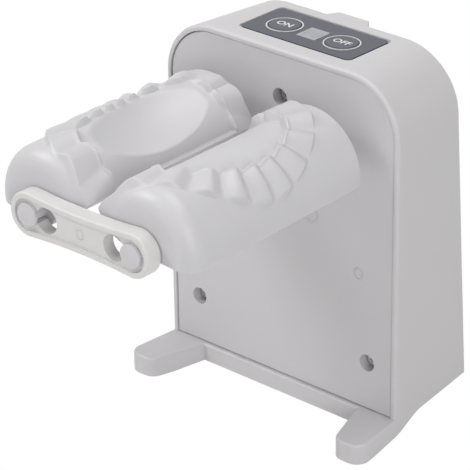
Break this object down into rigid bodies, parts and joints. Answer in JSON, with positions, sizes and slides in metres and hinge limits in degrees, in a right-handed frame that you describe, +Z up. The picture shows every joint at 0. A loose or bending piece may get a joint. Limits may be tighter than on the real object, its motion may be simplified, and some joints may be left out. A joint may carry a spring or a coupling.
{
  "type": "electric dumpling maker",
  "caption": "Upright battery-powered housing with feet; in front, grooved half-drum moulds on level shafts turn towards each other under a link plate to fold and press a dumpling.",
  "frame": {"origin": "on the table under the middle of the whole machine's box", "axes": "+X to the right seen from the front, +Y from the moulds towards the back, +Z up from the table"},
  "size_m": [0.1346, 0.184, 0.1679],
  "materials": {
    "housing": "fine satin moulding",
    "mould": "smooth satin moulding",
    "mould_cover": "smooth satin moulding",
    "link": "smooth satin moulding",
    "coupling": "satin moulding",
    "overlay": "semi gloss, moulded through",
    "key": "satin cap with a printed symbol",
    "key_post": "plain moulding",
    "window": "smoked clear moulding",
    "display": "dark filled display",
    "pad": "matt",
    "steel": "plated",
    "bush": "sintered and oiled",
    "gear": "natural white moulding",
    "pinion": "hobbed",
    "plate": "zinc plated sheet",
    "gearhead": "die cast case",
    "motor_can": "drawn can",
    "switch_case": "plain moulding",
    "board": "solder mask",
    "cell": "shrink sleeve over a steel can",
    "strap": "plain moulding",
    "inlet": "drawn shell"
  },
  "bodies": {
    "base": {"housing": "housing", "front_panel": "housing", "panel_screws": "steel", "front_foot_pads": "pad", "rear_foot_pads": "pad", "base_cover": "housing", "base_cover_screws": "steel", "battery": "cell", "battery_strap": "strap", "left_front_bush": "bush", "right_front_bush": "bush", "left_rear_bush": "bush", "right_rear_bush": "bush", "gearbox_plate": "plate", "gearbox_screws": "steel", "gearhead": "gearhead", "motor": "motor_can", "motor_screws": "steel", "position_switch": "switch_case", "control_overlay": "gear", "display_window": "window", "start_switch": "switch_case", "stop_switch": "switch_case", "control_board": "board", "control_board_screws": "steel", "digit_display": "display", "main_board": "board", "main_board_screws": "steel", "charging_inlet": "inlet"},
    "start_key": {"start_key": "key", "start_key_plunger": "key_post"},
    "stop_key": {"stop_key": "key", "stop_key_plunger": "key_post"},
    "left_drive": {"left_drive_shaft": "steel", "left_drive_gear": "gear", "left_coupling": "coupling", "home_cam": "gear"},
    "right_drive": {"right_drive_shaft": "steel", "right_drive_gear": "gear", "right_coupling": "coupling", "shaft_collar": "gear"},
    "pinion": {"drive_pinion": "pinion", "output_shaft": "steel"},
    "link": {"link_plate": "link"},
    "left_mould": {"left_mould": "mould", "left_mould_cover": "mould_cover"},
    "right_mould": {"right_mould": "mould", "right_mould_cover": "mould_cover"}
  },
  "joints": [
    {"name": "start_key_press", "type": "slide", "parent": "base", "child": "start_key", "axis": [0, -0.022, -0.9998], "range_m": [0, 0.0006], "stiffness_N_per_m": 1500},
    {"name": "stop_key_press", "type": "slide", "parent": "base", "child": "stop_key", "axis": [0, -0.022, -0.9998], "range_m": [0, 0.0006], "stiffness_N_per_m": 1500},
    {"name": "mould_set_slide", "type": "slide", "parent": "base", "child": "link", "axis": [0, -1, 0], "range_m": [0, 0.03]},
    {"name": "left_mould_turn", "type": "hinge", "parent": "link", "child": "left_mould", "pos_m": [-0.0285, 0, 0.128], "axis": [0, 1, 0], "continuous": true},
    {"name": "right_mould_turn", "type": "hinge", "parent": "link", "child": "right_mould", "pos_m": [0.0285, 0, 0.128], "axis": [0, 1, 0], "continuous": true},
    {"name": "left_shaft_turn", "type": "hinge", "parent": "base", "child": "left_drive", "pos_m": [-0.0285, 0, 0.128], "axis": [0, 1, 0], "continuous": true},
    {"name": "right_shaft_turn", "type": "hinge", "parent": "base", "child": "right_drive", "pos_m": [0.0285, 0, 0.128], "axis": [0, 1, 0], "continuous": true},
    {"name": "pinion_turn", "type": "hinge", "parent": "base", "child": "pinion", "pos_m": [-0.006, 0, 0.09926], "axis": [0, 1, 0], "continuous": true}
  ],
  "couplings": [
    {"joint": "right_mould_turn", "follows": "left_mould_turn", "ratio": -1},
    {"joint": "left_shaft_turn", "follows": "left_mould_turn", "ratio": 1},
    {"joint": "right_shaft_turn", "follows": "left_mould_turn", "ratio": -1},
    {"joint": "pinion_turn", "follows": "left_mould_turn", "ratio": -3.5625}
  ]
}
